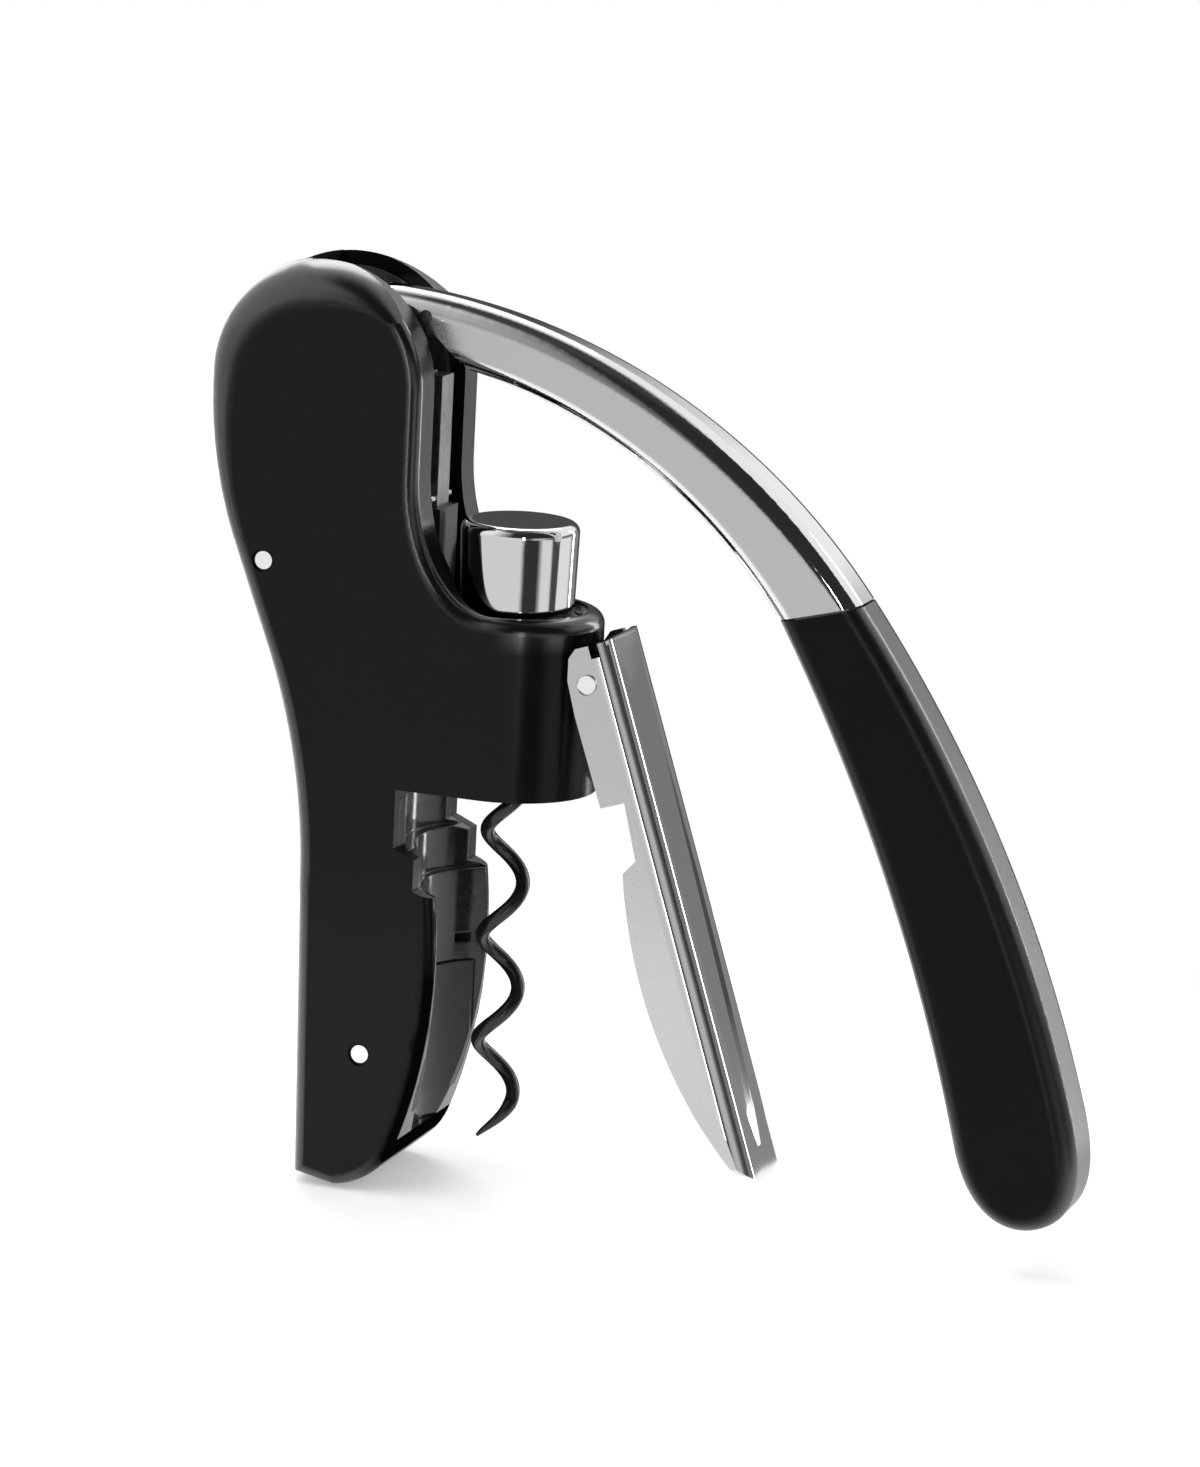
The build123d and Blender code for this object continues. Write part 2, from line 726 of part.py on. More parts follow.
# Worm: coated wire, its moulded hub and shank, and the head that hangs it in the carrier
worm = wire(worm_tip_z + taper, worm_top_z, wire_r)
tip_path = worm_path(worm_tip_z, worm_tip_z + taper + fit)
tip_sections = [
    Plane(tip_path @ 0, z_dir=tip_path % 0) * Circle(0.35),
    Plane(tip_path @ 1, z_dir=tip_path % 1) * Circle(wire_r),
]
worm += sweep(tip_sections, path=tip_path, multisection=True, is_frenet=True)
worm_shank = upright_rod(worm_hub_r, hub_z, hub_top) + upright_rod(shank_r, hub_top - 1, head_top)
worm_shank -= wire(hub_z - 1, worm_top_z + fit, wire_r + 0.02)
worm_head = upright_rod(head_r, head_z, head_top) - upright_rod(shank_r + 0.02, 0, 60)

# Clamp lever: pressed channel, rubber pad, pin and return spring
lean_x = clamp_end_x - clamp_top_x
lean_z = clamp_end_z - clamp_top_z
lean = hypot(lean_x, lean_z)
along = (lean_x / lean, lean_z / lean)
outward = (-along[1], along[0])


def on_web(distance, depth=0.0):
    """A point down the clamp's outer face, at a depth under it."""
    return (
        clamp_top_x + along[0] * distance - outward[0] * depth,
        clamp_top_z + along[1] * distance - outward[1] * depth,
    )


flange_outline = [
    (blade_start, 8.2),
    (blade_start - 1.7, 5.2),
    (ear_end, 4.4),
    (ear_end, ear_depth),
    (11.8, ear_depth + 0.2),
    (5.2, ear_depth - 0.2),
    (1.4, 7.6),
    (0, 5.9),
    (0, 0),
    (flange_length, 0),
    (blade_end, 1.9),
]
flange_points = [on_web(distance, depth) for distance, depth in flange_outline]
flange_edges = [Line(a, b) for a, b in zip(flange_points, flange_points[1:])]
blade_middle = on_web((blade_start + blade_end) / 2 - 3.2, blade_depth)
flange_edges.append(ThreePointArc(flange_points[-1], blade_middle, flange_points[0]))


def bent_channel(half, depth, bend_r):
    """A long block under the web whose two outer corners carry the sheet's bend."""
    run = chain([on_web(-20, depth), on_web(120, depth), on_web(120, 60), on_web(-20, 60)])
    block = across(side_face(run), -half, half)
    corners = block.edges().filter_by(lambda e: e.length > 130 and e.center().X > 20)
    return fillet(corners.sort_by(Axis.X)[-2:], bend_r)


clamp_lever = across(side_face(flange_edges), -clamp_half, clamp_half)
clamp_lever &= bent_channel(clamp_half, 0, clamp_bend_r)
clamp_lever -= bent_channel(clamp_half - clamp_skin, clamp_skin, clamp_bend_r - clamp_skin)
end_top = (clamp_half, clamp_top_z + 5)
end_side = (clamp_half, clamp_end_z + end_rise)
end_edges = [
    Line((-end_top[0], end_top[1]), end_top),
    Line(end_top, end_side),
    EllipticalCenterArc((0, end_side[1]), clamp_half, end_rise, start_angle=180, arc_size=180),
    Line((-end_side[0], end_side[1]), (-end_top[0], end_top[1])),
]
end_face = Plane.YZ * make_face(Curve() + end_edges)
clamp_lever &= extrude(end_face, amount=80)
web_plane = Plane(
    (clamp_top_x, 0, clamp_top_z),
    x_dir=(along[0], 0, along[1]),
    z_dir=(outward[0], 0, outward[1]),
)
for side in (-1, 1):
    tab_points = [
        (tab_start, side * (clamp_half - tab_step)),
        (tab_start, side * (clamp_half + 1)),
        (lean + 2, side * (clamp_half + 1)),
        (lean + 2, side * (clamp_half - tab_step - tab_slope)),
    ]
    clamp_lever -= extrude(web_plane * make_face(Curve() + chain(tab_points)), amount=20, both=True)
rib_half = clamp_half - clamp_bend_r + 0.2


def rib_section(distance, height):
    """The pressed rib's pointed section at one distance down the web."""
    x, z = on_web(distance)
    plane = Plane((x, 0, z), x_dir=(0, 1, 0), z_dir=(along[0], 0, along[1]))
    points = [(-rib_half, -0.4), (rib_half, -0.4), (0, height)]
    return plane * make_face(Curve() + chain(points))


clamp_lever += loft([rib_section(0.4, rib_height), rib_section(lean - 6, 0.05)], ruled=True)
notch = chain([on_web(-1, 1.8), on_web(2.4, 1.8), on_web(2.4, 3.4), on_web(-1, 3.4)])
clamp_lever -= across(side_face(notch), -20, 20)
clamp_lever -= cross_rod(clamp_x, clamp_z, pin_r + fit, -20, 20)
for side in (-1, 1):
    ring_y = sorted((side * (clamp_half - pin_ring), side * (clamp_half + 1)))
    clamp_lever -= cross_rod(clamp_x, clamp_z, pin_r + pin_ring, *ring_y)
clamp_pin = cross_rod(clamp_x, clamp_z, pin_r, -clamp_half - 0.2, clamp_half + 0.2)
pad_floor = clamp_skin + fit
pad_outline = [(56.9, 9.0), (69.5, 8.7), (80.3, 7.3), (pad_end, pad_floor), (pad_start, pad_floor)]
pad_points = [on_web(distance, depth) for distance, depth in pad_outline]
pad_half = clamp_half - clamp_skin - fit
clamp_pad = across(side_face(chain(pad_points)), -pad_half, pad_half)
clamp_pad &= bent_channel(pad_half, clamp_skin + fit, clamp_bend_r - clamp_skin)
spring_helix = Helix(spring_pitch, spring_length, spring_r)
spring_path = Pos(clamp_x, spring_length / 2, clamp_z) * Rot(90, 0, 0) * spring_helix
spring_start = Plane(spring_path @ 0, z_dir=spring_path % 0)
clamp_spring = sweep(spring_start * Circle(spring_wire_r), path=spring_path, is_frenet=True)

pieces = {
    "left_shell": left_shell,
    "right_shell": right_shell,
    "left_plate": left_plate,
    "right_plate": right_plate,
    "upper_pin": upper_pin,
    "lower_pin": lower_pin,
    "pin_spacer": pin_spacer,
    "lever_axle": lever_axle,
    "axle_washers": axle_washers,
    "guide_sleeve": guide_sleeve,
    "worm_nut": worm_nut,
    "nut_ring": nut_ring,
    "neck_cradle": neck_cradle,
    "neck_pad": neck_pad,
    "lever_quadrant": lever_quadrant,
    "lever_arm": lever_arm,
    "arm_rivets": arm_rivets,
    "lever_grip": lever_grip,
    "carrier": carrier,
    "carrier_cap": carrier_cap,
    "rack": rack,
    "rack_pin": rack_pin,
    "thrust_washer": thrust_washer,
    "worm": worm,
    "worm_shank": worm_shank,
    "worm_head": worm_head,
    "clamp_lever": clamp_lever,
    "clamp_pad": clamp_pad,
    "clamp_pin": clamp_pin,
    "clamp_spring": clamp_spring,
}
for name, shape in pieces.items():
    print(name, shape.is_valid, len(shape.solids()), round(shape.volume, 1))
    save(name, shape)
print("gap between worm turns", round(worm_pitch - 2 * wire_r, 2))
print("gap between spring turns", round(spring_pitch - 2 * spring_wire_r, 2))
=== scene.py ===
from math import cos, pi, radians, sin

import bpy
from mathutils import Matrix, Vector


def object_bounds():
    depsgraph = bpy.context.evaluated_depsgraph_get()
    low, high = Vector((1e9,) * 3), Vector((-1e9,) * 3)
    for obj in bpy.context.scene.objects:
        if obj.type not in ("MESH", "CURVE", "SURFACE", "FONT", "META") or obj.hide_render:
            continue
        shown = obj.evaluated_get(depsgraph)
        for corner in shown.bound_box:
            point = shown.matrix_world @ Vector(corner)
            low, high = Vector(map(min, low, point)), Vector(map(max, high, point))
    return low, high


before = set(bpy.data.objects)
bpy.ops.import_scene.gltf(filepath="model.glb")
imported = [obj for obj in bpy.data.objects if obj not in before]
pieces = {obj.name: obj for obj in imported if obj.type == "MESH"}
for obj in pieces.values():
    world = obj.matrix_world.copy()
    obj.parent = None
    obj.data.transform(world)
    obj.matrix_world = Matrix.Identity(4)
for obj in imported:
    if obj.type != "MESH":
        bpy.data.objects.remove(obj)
cad_low, cad_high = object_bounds()


# Body: two die-cast zinc halves, left and right, that meet on the middle plane and are pinned together.
# They are sprayed black and stoved: satin with a fine orange peel, matt in the mouth below the collar, and
# rubbed to a gloss on the rounded edges of the head and back, which catch the lamps as bright lines.
def colour(text):
    """An sRGB hex value as the linear colour that a shader takes."""
    parts = [int(text[i:i + 2], 16) / 255 for i in (1, 3, 5)]
    return [*(p / 12.92 if p < 0.04045 else ((p + 0.055) / 1.055) ** 2.4 for p in parts), 1]


def add(tree, kind, sockets=None, **settings):
    """Adds a shader node with its settings, socket values and links."""
    made = tree.nodes.new("ShaderNode" + kind)
    for name, value in settings.items():
        setattr(made, name, value)
    for name, value in (sockets or {}).items():
        if isinstance(value, bpy.types.NodeSocket):
            tree.links.new(value, made.inputs[name])
        else:
            made.inputs[name].default_value = value
    return made


def new_finish(name):
    """An empty material and its node tree."""
    finish = bpy.data.materials.new(name)
    finish.use_nodes = True
    finish.node_tree.nodes.clear()
    return finish, finish.node_tree


def dress(finish, *names):
    """Puts a finish on solids of the frame."""
    for name in names:
        mesh = pieces[name].data
        mesh.materials.clear()
        mesh.materials.append(finish)


peel_mm, peel_deep_mm, rubbed_mm = 0.5, 0.003, 14
# The places, in metres, over which the rubbed rim and head, the rubbed back and the matt mouth fade in.
rim_z, back_x, mouth_z = (0.027, 0.030), (-0.016, -0.021), (-0.020, -0.035)
# Nearly all of a noise lies in this span.
noise_span = {"From Min": 0.3, "From Max": 0.7}
body_paint, tree = new_finish("stoved_satin_black_paint")
spot = add(tree, "TexCoord")
place = spot.outputs["Object"]
peel = add(tree, "TexNoise", {"Vector": place, "Scale": 1000 / peel_mm, "Detail": 2.0})
rubbed = add(tree, "TexNoise", {"Vector": place, "Scale": 1000 / rubbed_mm, "Detail": 3.0})
tint = add(tree, "ValToRGB", {"Fac": rubbed.outputs[0]})
tint.color_ramp.elements[0].color = colour("#060607")
tint.color_ramp.elements[1].color = colour("#0b0b0c")
satin = add(tree, "MapRange", {"Value": rubbed.outputs[0], **noise_span, "To Min": 0.27, "To Max": 0.21})
facing = add(tree, "SeparateXYZ", {"Vector": spot.outputs["Normal"]})
sideways = add(tree, "Math", {0: facing.outputs["Y"]}, operation="ABSOLUTE")
edge = add(tree, "MapRange", {"Value": sideways.outputs[0], "From Min": 0.94, "From Max": 0.995,
                              "To Min": 1.0, "To Max": 0.0})
spread = add(tree, "SeparateXYZ", {"Vector": place})
upper = add(tree, "MapRange", {"Value": spread.outputs["Z"], "From Min": rim_z[0], "From Max": rim_z[1]})
rear = add(tree, "MapRange", {"Value": spread.outputs["X"], "From Min": back_x[0], "From Max": back_x[1]})
held = add(tree, "Math", {0: upper.outputs[0], 1: rear.outputs[0]}, operation="MAXIMUM")
worn = add(tree, "Math", {0: edge.outputs[0], 1: held.outputs[0]}, operation="MULTIPLY")
sheen = add(tree, "MapRange", {"Value": worn.outputs[0], "To Min": satin.outputs[0], "To Max": 0.22})
front = add(tree, "MapRange", {"Value": facing.outputs["X"], "From Min": 0.3, "From Max": 0.6})
mouth = add(tree, "MapRange", {"Value": spread.outputs["Z"], "From Min": mouth_z[0], "From Max": mouth_z[1],
                               "To Max": front.outputs[0]})
plain = add(tree, "MapRange", {"Value": mouth.outputs[0], "To Min": 0.18, "To Max": 0.0})
gloss = add(tree, "MapRange", {"Value": worn.outputs[0], "To Min": plain.outputs[0], "To Max": 0.9})
relief = add(tree, "Bump", {"Height": peel.outputs[0], "Strength": 1.0, "Distance": peel_deep_mm / 1000})
coat = add(tree, "BsdfPrincipled", {"Base Color": tint.outputs[0], "Roughness": sheen.outputs[0],
                                    "Normal": relief.outputs[0], "Specular IOR Level": gloss.outputs[0]})
add(tree, "OutputMaterial", {"Surface": coat.outputs[0]})
dress(body_paint, "left_shell", "right_shell")

# Pins and axle: drawn steel rod pressed through the halves, the clamp and the rack, with the ends faced off.
# The facing tool leaves rings, which turn the light round the middle of each end. They are drawn coarser
# than the real ones, so that they show, and a wave node of scale 1 has 20 / (2 pi) rings to the metre.
ring_mm, ring_deep_mm, patch_mm = 2.2, 0.002, 1.2
pin_steel, tree = new_finish("bright_faced_steel")
place = add(tree, "TexCoord").outputs["Object"]
rings = add(tree, "TexWave", {"Vector": place, "Scale": 1000 / ring_mm * 2 * pi / 20, "Distortion": 0.6},
            wave_type="RINGS", rings_direction="Y", wave_profile="SAW")
patches = add(tree, "TexNoise", {"Vector": place, "Scale": 1000 / patch_mm, "Detail": 3.0})
sheen = add(tree, "MapRange", {"Value": patches.outputs[0], **noise_span, "To Min": 0.14, "To Max": 0.26})
relief = add(tree, "Bump", {"Height": rings.outputs[1], "Strength": 0.6, "Distance": ring_deep_mm / 1000})
steel = add(tree, "BsdfPrincipled", {"Base Color": colour("#f8f8f9"), "Metallic": 1.0,
                                     "Roughness": sheen.outputs[0], "Normal": relief.outputs[0]})
add(tree, "OutputMaterial", {"Surface": steel.outputs[0]})
dress(pin_steel, "upper_pin", "lower_pin", "clamp_pin", "rack_pin", "lever_axle")

# Works inside the body: side plates, quadrant and rack cut from rolled steel, turned spacer, washers, ring,
# rivets and worm shank, and the clamp's wound spring. Plain steel with a film of oil: grey, streaked along
# the rolling, and darker where the oil gathers.
streak_mm, streak_long_mm, streak_deep_mm, oil_mm = 0.3, 3.75, 0.004, 9
mill_steel, tree = new_finish("oiled_rolled_steel")
place = add(tree, "TexCoord").outputs["Object"]
along = add(tree, "Mapping", {"Vector": place, "Scale": (1, 1, streak_mm / streak_long_mm)})
streaks = add(tree, "TexNoise", {"Vector": along.outputs[0], "Scale": 1000 / streak_mm, "Detail": 3.0})
oil = add(tree, "TexNoise", {"Vector": place, "Scale": 1000 / oil_mm, "Detail": 3.0})
tint = add(tree, "ValToRGB", {"Fac": oil.outputs[0]})
tint.color_ramp.elements[0].position = 0.35
tint.color_ramp.elements[0].color = colour("#6f6f70")
tint.color_ramp.elements[1].position = 0.65
tint.color_ramp.elements[1].color = colour("#8b8b8d")
sheen = add(tree, "MapRange", {"Value": streaks.outputs[0], **noise_span, "To Min": 0.26, "To Max": 0.42})
relief = add(tree, "Bump", {"Height": streaks.outputs[0], "Strength": 1.0, "Distance": streak_deep_mm / 1000})
steel = add(tree, "BsdfPrincipled", {"Base Color": tint.outputs[0], "Metallic": 1.0,
                                     "Roughness": sheen.outputs[0], "Normal": relief.outputs[0]})
add(tree, "OutputMaterial", {"Surface": steel.outputs[0]})
dress(mill_steel, "left_plate", "right_plate", "pin_spacer", "axle_washers", "nut_ring", "lever_quadrant",
      "arm_rivets", "rack", "thrust_washer", "worm_shank", "worm_head", "clamp_spring")

# Carrier: a turned steel slider with its upright, blacked in an oxide bath and oiled.
# Nearly black with a soft brown-grey bloom and a low sheen.
bloom_mm = 3
black_oxide, tree = new_finish("black_oxide_steel")
place = add(tree, "TexCoord").outputs["Object"]
bloom = add(tree, "TexNoise", {"Vector": place, "Scale": 1000 / bloom_mm, "Detail": 4.0})
tint = add(tree, "ValToRGB", {"Fac": bloom.outputs[0]})
tint.color_ramp.elements[0].color = colour("#0c0c0d")
tint.color_ramp.elements[1].color = colour("#171615")
sheen = add(tree, "MapRange", {"Value": bloom.outputs[0], **noise_span, "To Min": 0.34, "To Max": 0.46})
oxide = add(tree, "BsdfPrincipled", {"Base Color": tint.outputs[0], "Roughness": sheen.outputs[0]})
add(tree, "OutputMaterial", {"Surface": oxide.outputs[0]})
dress(black_oxide, "carrier")

# Guide sleeve and cap: turned steel, buffed and chromed. The sleeve lines the collar, and the cap closes the
# top of the carrier that runs in it.
# A mirror with a faint waviness from the buffing wheel and a haze of hairlines.
buff_mm, buff_deep_mm, haze_mm = 7, 0.02, 0.8
chrome, tree = new_finish("polished_chrome_plating")
place = add(tree, "TexCoord").outputs["Object"]
buffed = add(tree, "TexNoise", {"Vector": place, "Scale": 1000 / buff_mm, "Detail": 1.0})
haze = add(tree, "TexNoise", {"Vector": place, "Scale": 1000 / haze_mm, "Detail": 4.0})
sheen = add(tree, "MapRange", {"Value": haze.outputs[0], "From Min": 0.35, "From Max": 0.65,
                               "To Min": 0.045, "To Max": 0.075})
relief = add(tree, "Bump", {"Height": buffed.outputs[0], "Strength": 1.0, "Distance": buff_deep_mm / 1000})
plating = add(tree, "BsdfPrincipled", {"Base Color": colour("#d9d9db"), "Metallic": 1.0,
                                       "Roughness": sheen.outputs[0], "Normal": relief.outputs[0]})
add(tree, "OutputMaterial", {"Surface": plating.outputs[0]})
dress(chrome, "guide_sleeve", "carrier_cap")

# Worm nut: turned from black acetal rod, pushed up into the collar and kept there by a steel ring.
# Dull black, with a waxy sheen and the fine marks of the turning tool.
mark_mm, mark_deep_mm = 0.6, 0.006
nut_plastic, tree = new_finish("turned_black_acetal")
place = add(tree, "TexCoord").outputs["Object"]
marks = add(tree, "TexNoise", {"Vector": place, "Scale": 1000 / mark_mm, "Detail": 3.0})
tint = add(tree, "ValToRGB", {"Fac": marks.outputs[0]})
tint.color_ramp.elements[0].color = colour("#161617")
tint.color_ramp.elements[1].color = colour("#1f1f20")
relief = add(tree, "Bump", {"Height": marks.outputs[0], "Strength": 1.0, "Distance": mark_deep_mm / 1000})
plastic = add(tree, "BsdfPrincipled", {"Base Color": tint.outputs[0], "Roughness": 0.42,
                                       "Normal": relief.outputs[0]})
add(tree, "OutputMaterial", {"Surface": plastic.outputs[0]})
dress(nut_plastic, "worm_nut")

# Neck cradle: a stepped ABS moulding that slides up between the halves and stops a bottle's neck.
# Moulded in a polished tool, so it is dark and glossy with slow sink waves and softened, bright corners.
sink_mm, sink_deep_mm, scuff_mm, corner_mm = 6, 0.03, 1.5, 0.5
cradle_plastic, tree = new_finish("gloss_moulded_abs")
place = add(tree, "TexCoord").outputs["Object"]
sink = add(tree, "TexNoise", {"Vector": place, "Scale": 1000 / sink_mm, "Detail": 1.0})
scuffs = add(tree, "TexNoise", {"Vector": place, "Scale": 1000 / scuff_mm, "Detail": 4.0})
tint = add(tree, "ValToRGB", {"Fac": scuffs.outputs[0]})
tint.color_ramp.elements[0].color = colour("#1a1a1b")
tint.color_ramp.elements[1].color = colour("#242425")
sheen = add(tree, "MapRange", {"Value": scuffs.outputs[0], **noise_span, "To Min": 0.10, "To Max": 0.18})
corner = add(tree, "Bevel", {"Radius": corner_mm / 1000}, samples=6)
relief = add(tree, "Bump", {"Height": sink.outputs[0], "Strength": 1.0, "Distance": sink_deep_mm / 1000,
                            "Normal": corner.outputs[0]})
plastic = add(tree, "BsdfPrincipled", {"Base Color": tint.outputs[0], "Roughness": sheen.outputs[0],
                                       "Normal": relief.outputs[0]})
add(tree, "OutputMaterial", {"Surface": plastic.outputs[0]})
dress(cradle_plastic, "neck_cradle")

# Neck pad and clamp pad: moulded rubber, pushed into the cradle's face and stuck behind the clamp.
# A dry grey-black with a fine stipple from the mould and paler, chalky patches.
stipple_mm, stipple_deep_mm, chalk_mm = 0.4, 0.01, 5
pad_rubber, tree = new_finish("moulded_black_rubber")
place = add(tree, "TexCoord").outputs["Object"]
stipple = add(tree, "TexVoronoi", {"Vector": place, "Scale": 1000 / stipple_mm})
chalk = add(tree, "TexNoise", {"Vector": place, "Scale": 1000 / chalk_mm, "Detail": 3.0})
tint = add(tree, "ValToRGB", {"Fac": chalk.outputs[0]})
tint.color_ramp.elements[0].color = colour("#1e1e1f")
tint.color_ramp.elements[1].color = colour("#2a2a2b")
relief = add(tree, "Bump", {"Height": stipple.outputs[0], "Strength": 1.0,
                            "Distance": stipple_deep_mm / 1000})
rubber = add(tree, "BsdfPrincipled", {"Base Color": tint.outputs[0], "Roughness": 0.5,
                                      "Normal": relief.outputs[0]})
add(tree, "OutputMaterial", {"Surface": rubber.outputs[0]})
dress(pad_rubber, "neck_pad", "clamp_pad")

# Lever arm and clamp: a zinc casting and a pressed steel channel, both chromed.
# The flat sides are linished to a satin grain before plating and the rounded edges are buffed bright.
# The grain is drawn coarser than the belt's grit, so that it shows.
grit_mm, grit_deep_mm = 0.25, 0.004
satin_chrome, tree = new_finish("chrome_plating_satin_on_flats")
spot = add(tree, "TexCoord")
place = spot.outputs["Object"]
facing = add(tree, "SeparateXYZ", {"Vector": spot.outputs["Normal"]})
sideways = add(tree, "Math", {0: facing.outputs["Y"]}, operation="ABSOLUTE")
flat = add(tree, "MapRange", {"Value": sideways.outputs[0], "From Min": 0.93, "From Max": 0.985})
grit = add(tree, "TexNoise", {"Vector": place, "Scale": 1000 / grit_mm, "Detail": 3.0})
buffed = add(tree, "TexNoise", {"Vector": place, "Scale": 1000 / buff_mm, "Detail": 1.0})
satin = add(tree, "MapRange", {"Value": grit.outputs[0], **noise_span, "To Min": 0.20, "To Max": 0.30})
sheen = add(tree, "MapRange", {"Value": flat.outputs[0], "To Min": 0.055, "To Max": satin.outputs[0]})
waves = add(tree, "Bump", {"Height": buffed.outputs[0], "Strength": 1.0, "Distance": buff_deep_mm / 1000})
grain = add(tree, "Bump", {"Height": grit.outputs[0], "Strength": flat.outputs[0],
                           "Distance": grit_deep_mm / 1000, "Normal": waves.outputs[0]})
tint = add(tree, "ValToRGB", {"Fac": flat.outputs[0]})
tint.color_ramp.elements[0].color = colour("#dcdcde")
tint.color_ramp.elements[1].color = colour("#c4c4c6")
plating = add(tree, "BsdfPrincipled", {"Base Color": tint.outputs[0], "Metallic": 1.0,
                                       "Roughness": sheen.outputs[0], "Normal": grain.outputs[0]})
add(tree, "OutputMaterial", {"Surface": plating.outputs[0]})
dress(satin_chrome, "lever_arm", "clamp_lever")

# Lever grip: nylon moulded over the arm's tongue, black, in a tool blasted to a satin.
# A faint grain and soft, broad highlights, dull on the flat sides and shining where the palm closes on it.
blast_mm, blast_deep_mm, palm_mm = 0.3, 0.003, 18
grip_nylon, tree = new_finish("satin_moulded_nylon")
spot = add(tree, "TexCoord")
place = spot.outputs["Object"]
blast = add(tree, "TexNoise", {"Vector": place, "Scale": 1000 / blast_mm, "Detail": 2.0})
palm = add(tree, "TexNoise", {"Vector": place, "Scale": 1000 / palm_mm, "Detail": 2.0})
tint = add(tree, "ValToRGB", {"Fac": palm.outputs[0]})
tint.color_ramp.elements[0].color = colour("#070708")
tint.color_ramp.elements[1].color = colour("#0c0c0d")
sheen = add(tree, "MapRange", {"Value": palm.outputs[0], **noise_span, "To Min": 0.34, "To Max": 0.28})
facing = add(tree, "SeparateXYZ", {"Vector": spot.outputs["Normal"]})
sideways = add(tree, "Math", {0: facing.outputs["Y"]}, operation="ABSOLUTE")
gloss = add(tree, "MapRange", {"Value": sideways.outputs[0], "From Min": 0.60, "From Max": 0.97,
                               "To Min": 0.9, "To Max": 0.1})
relief = add(tree, "Bump", {"Height": blast.outputs[0], "Strength": 1.0, "Distance": blast_deep_mm / 1000})
plastic = add(tree, "BsdfPrincipled", {"Base Color": tint.outputs[0], "Roughness": sheen.outputs[0],
                                       "Normal": relief.outputs[0], "Specular IOR Level": gloss.outputs[0]})
add(tree, "OutputMaterial", {"Surface": plastic.outputs[0]})
dress(grip_nylon, "lever_grip")

# Worm: hardened spring wire, coiled, pointed and dipped in a black non-stick coat that is baked on.
# The coat is a glossy black that runs a little as it dries, and is greyer and duller in patches.
run_mm, run_deep_mm = 1.6, 0.01
worm_coat, tree = new_finish("baked_nonstick_coat")
place = add(tree, "TexCoord").outputs["Object"]
runs = add(tree, "TexNoise", {"Vector": place, "Scale": 1000 / run_mm, "Detail": 3.0})
tint = add(tree, "ValToRGB", {"Fac": runs.outputs[0]})
tint.color_ramp.elements[0].color = colour("#0e0e0f")
tint.color_ramp.elements[1].color = colour("#1c1c1d")
sheen = add(tree, "MapRange", {"Value": runs.outputs[0], **noise_span, "To Min": 0.18, "To Max": 0.30})
relief = add(tree, "Bump", {"Height": runs.outputs[0], "Strength": 1.0, "Distance": run_deep_mm / 1000})
coat = add(tree, "BsdfPrincipled", {"Base Color": tint.outputs[0], "Roughness": sheen.outputs[0],
                                    "Normal": relief.outputs[0]})
add(tree, "OutputMaterial", {"Surface": coat.outputs[0]})
dress(worm_coat, "worm")

# Floor: a round sheet of white card just under the heel, lit by the lamps.
# A little glow lifts it to white in the view and in the chrome alike, and the tool's soft shadow stays on it.
sheet_r, sheet_gap, sheet_glow = 0.22, 0.0005, 0.30
bpy.ops.mesh.primitive_circle_add(vertices=96, radius=sheet_r, fill_type="NGON",
                                  location=(0, 0, cad_low.z - sheet_gap))
floor = bpy.context.object
floor.name = "floor"
paper, tree = new_finish("white_card")
rays = add(tree, "LightPath")
seen = add(tree, "Math", {0: rays.outputs["Is Camera Ray"], 1: rays.outputs["Is Glossy Ray"]},
           operation="MAXIMUM")
seen = add(tree, "Math", {0: seen.outputs[0], 1: rays.outputs["Is Transmission Ray"]}, operation="MAXIMUM")
lift = add(tree, "Math", {0: seen.outputs[0], 1: sheet_glow}, operation="MULTIPLY")
card = add(tree, "BsdfDiffuse", {"Color": colour("#f4f4f4")})
glow = add(tree, "Emission", {"Color": colour("#ffffff"), "Strength": lift.outputs[0]})
both = add(tree, "AddShader", {0: card.outputs[0], 1: glow.outputs[0]})
add(tree, "OutputMaterial", {"Surface": both.outputs[0]})
floor.data.materials.append(paper)

# Studio: a white tent with black flags between its panels, which only show as bands in the bright work.
# Each tier of panels begins at a height (the sine of the angle up), and its levels stand at degrees counted
# from straight in front of the side in view, towards the worm. The top tier is one black flag overhead.
tiers = [(-1.0, [(-180, 0.30), (-150, 1.00), (-110, 1.00), (-84, 0.85), (22, 0.85), (30, 0.04), (56, 0.04),
                 (62, 0.45), (66, 0.90), (84, 0.90), (89, 0.04), (98, 0.04), (103, 1.00), (134, 1.00),
                 (142, 0.30), (180, 0.30)]),
         (-0.05, [(-180, 0.30), (-150, 1.10), (-84, 0.85), (20, 0.90), (28, 0.10), (38, 0.10), (48, 0.55),
                  (66, 0.60), (82, 0.20), (94, 0.05), (103, 0.22), (180, 0.30)]),
         (0.22, [(-180, 1.10), (-45, 1.10), (4, 0.03), (94, 0.03), (101, 1.10), (180, 1.10)]),
         (0.93, [(-180, 0.06), (180, 0.06)])]
seam = 0.04
tent = bpy.data.worlds.new("white_tent")
bpy.context.scene.world = tent
tent.use_nodes = True
tree = tent.node_tree
tree.nodes.clear()
toward = add(tree, "TexCoord").outputs["Generated"]
way = add(tree, "SeparateXYZ", {"Vector": toward})
ahead = add(tree, "Math", {0: way.outputs["Y"], 1: -1.0}, operation="MULTIPLY")
angle = add(tree, "Math", {0: way.outputs["X"], 1: ahead.outputs[0]}, operation="ARCTAN2")
round_about = add(tree, "MapRange", {"Value": angle.outputs[0], "From Min": -pi, "From Max": pi})
wall = colour("#ffffff")
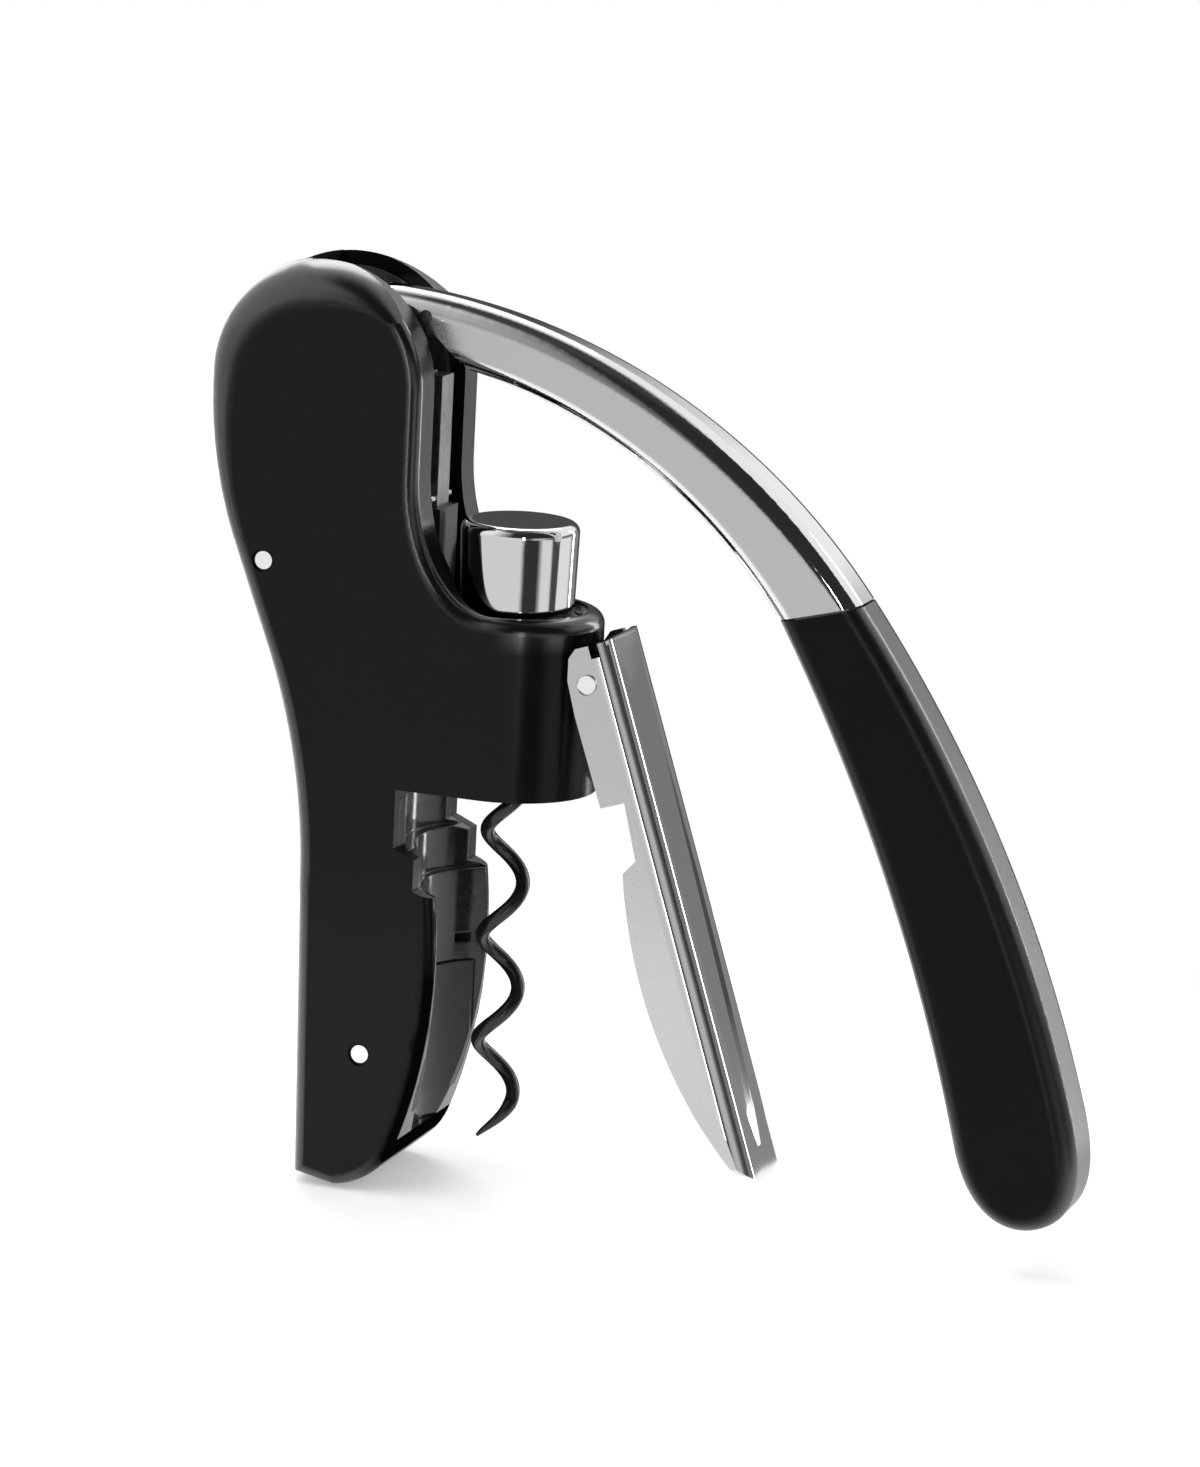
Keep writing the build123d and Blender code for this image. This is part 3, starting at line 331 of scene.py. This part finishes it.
for start, panels in tiers:
    bands = add(tree, "ValToRGB", {"Fac": round_about.outputs[0]})
    ramp = bands.color_ramp.elements
    while len(ramp) < len(panels):
        ramp.new(0.5)
    for step, (degrees, level) in zip(ramp, panels):
        step.position = (degrees + 180) / 360
        step.color = (level, level, level, 1)
    above = add(tree, "MapRange", {"Value": way.outputs["Z"], "From Min": start - seam,
                                   "From Max": start + seam})
    wall = add(tree, "Mix", {"Factor": above.outputs[0], "A": wall, "B": bands.outputs[0]},
               data_type="RGBA").outputs["Result"]

# Back cloth: a dark cloth hung low in the tent behind the tool, which shades the backs of the bright edges.
# The view sees plain white instead of tent and cloth, and soft white light comes from every side.
cloth_bearing, cloth_edge, cloth_top = radians(-168), (0.90, 0.94), (0.30, 0.42)
cloth_level = (0.08, 0.08, 0.08, 1)
cloth_way = (sin(cloth_bearing), -cos(cloth_bearing), 0)
straight = add(tree, "VectorMath", {0: toward, 1: cloth_way}, operation="DOT_PRODUCT")
behind = add(tree, "MapRange", {"Value": straight.outputs["Value"], "From Min": cloth_edge[0],
                                "From Max": cloth_edge[1]})
low_down = add(tree, "MapRange", {"Value": way.outputs["Z"], "From Min": cloth_top[0],
                                  "From Max": cloth_top[1], "To Min": 1.0, "To Max": 0.0})
cloth = add(tree, "Math", {0: behind.outputs[0], 1: low_down.outputs[0]}, operation="MULTIPLY")
hung = add(tree, "Mix", {"Factor": cloth.outputs[0], "A": wall, "B": cloth_level}, data_type="RGBA")
rays = add(tree, "LightPath")
seen = add(tree, "Math", {0: rays.outputs["Is Glossy Ray"], 1: rays.outputs["Is Transmission Ray"]},
           operation="MAXIMUM")
soft = add(tree, "Background", {"Color": colour("#ffffff"), "Strength": 0.6})
shapes = add(tree, "Background", {"Color": hung.outputs["Result"], "Strength": 1.0})
white = add(tree, "Background", {"Color": colour("#ffffff"), "Strength": 1.0})
shown = add(tree, "MixShader", {0: seen.outputs[0], 1: soft.outputs[0], 2: shapes.outputs[0]})
shown = add(tree, "MixShader", {0: rays.outputs["Is Camera Ray"], 1: shown.outputs[0], 2: white.outputs[0]})
add(tree, "OutputWorld", {"Surface": shown.outputs[0]})

# Lamps: a broad softbox above the head, three strip boxes that stand round the tool and one over its back.
# The strips draw the thin bright lines on the rounded edges, and the softbox keeps out of the bright work.
# Each has its bearing and height in degrees, how far off, wide and tall it is, and how bright its face is.
lamps = [("softbox", -40, 60, 0.9, 1.0, 0.8, 1.2), ("front_strip", 27, 8, 1.1, 0.07, 0.7, 7.0),
         ("rim_strip", 147, 8, 0.9, 0.07, 0.8, 10.0), ("top_strip", -158, 48, 0.9, 0.5, 0.3, 5.0),
         ("rear_strip", -138, 12, 0.9, 0.3, 0.8, 2.4)]
for name, bearing, height, away, wide, tall, bright in lamps:
    lamp = bpy.data.objects.new(name, bpy.data.lights.new(name, "AREA"))
    lamp.data.shape = "RECTANGLE"
    lamp.data.size, lamp.data.size_y = wide, tall
    lamp.data.energy = bright * pi * wide * tall
    bearing, height = radians(bearing), radians(height)
    stand = Vector((sin(bearing) * cos(height), -cos(bearing) * cos(height), sin(height)))
    lamp.matrix_world = Matrix.Translation(stand * away) @ stand.to_track_quat("Z", "Y").to_matrix().to_4x4()
    lamp.visible_camera = False
    lamp.visible_glossy = name != "softbox"
    bpy.context.scene.collection.objects.link(lamp)

# Camera: 20 degrees to the right of the side in view and a little above it, with a long lens, 1 m away.
# It aims to the right of the worm and above the collar's underside, and is tilted as the tool leans.
azimuth, elevation, roll = radians(20), radians(13), radians(2.9)
distance, aim_right, aim_up = 1.0, 0.01616, 0.00983
back = Vector((sin(azimuth) * cos(elevation), -cos(azimuth) * cos(elevation), sin(elevation)))
side = Vector((cos(azimuth), sin(azimuth), 0))
up = back.cross(side)
aim = side * aim_right + up * aim_up
eye = back * distance
forward = (aim - eye).normalized()
side = forward.cross(Vector((0, 0, 1))).normalized()
up = side.cross(forward)
right = side * cos(roll) + up * sin(roll)
top = up * cos(roll) - side * sin(roll)
camera = bpy.data.objects.new("camera", bpy.data.cameras.new("camera"))
bpy.context.scene.collection.objects.link(camera)
turn = Matrix((right, top, -forward)).transposed()
camera.matrix_world = Matrix.Translation(eye) @ turn.to_4x4()
camera.data.lens = 135.0
bpy.context.scene.camera = camera
bpy.context.scene.view_settings.view_transform = "Standard"
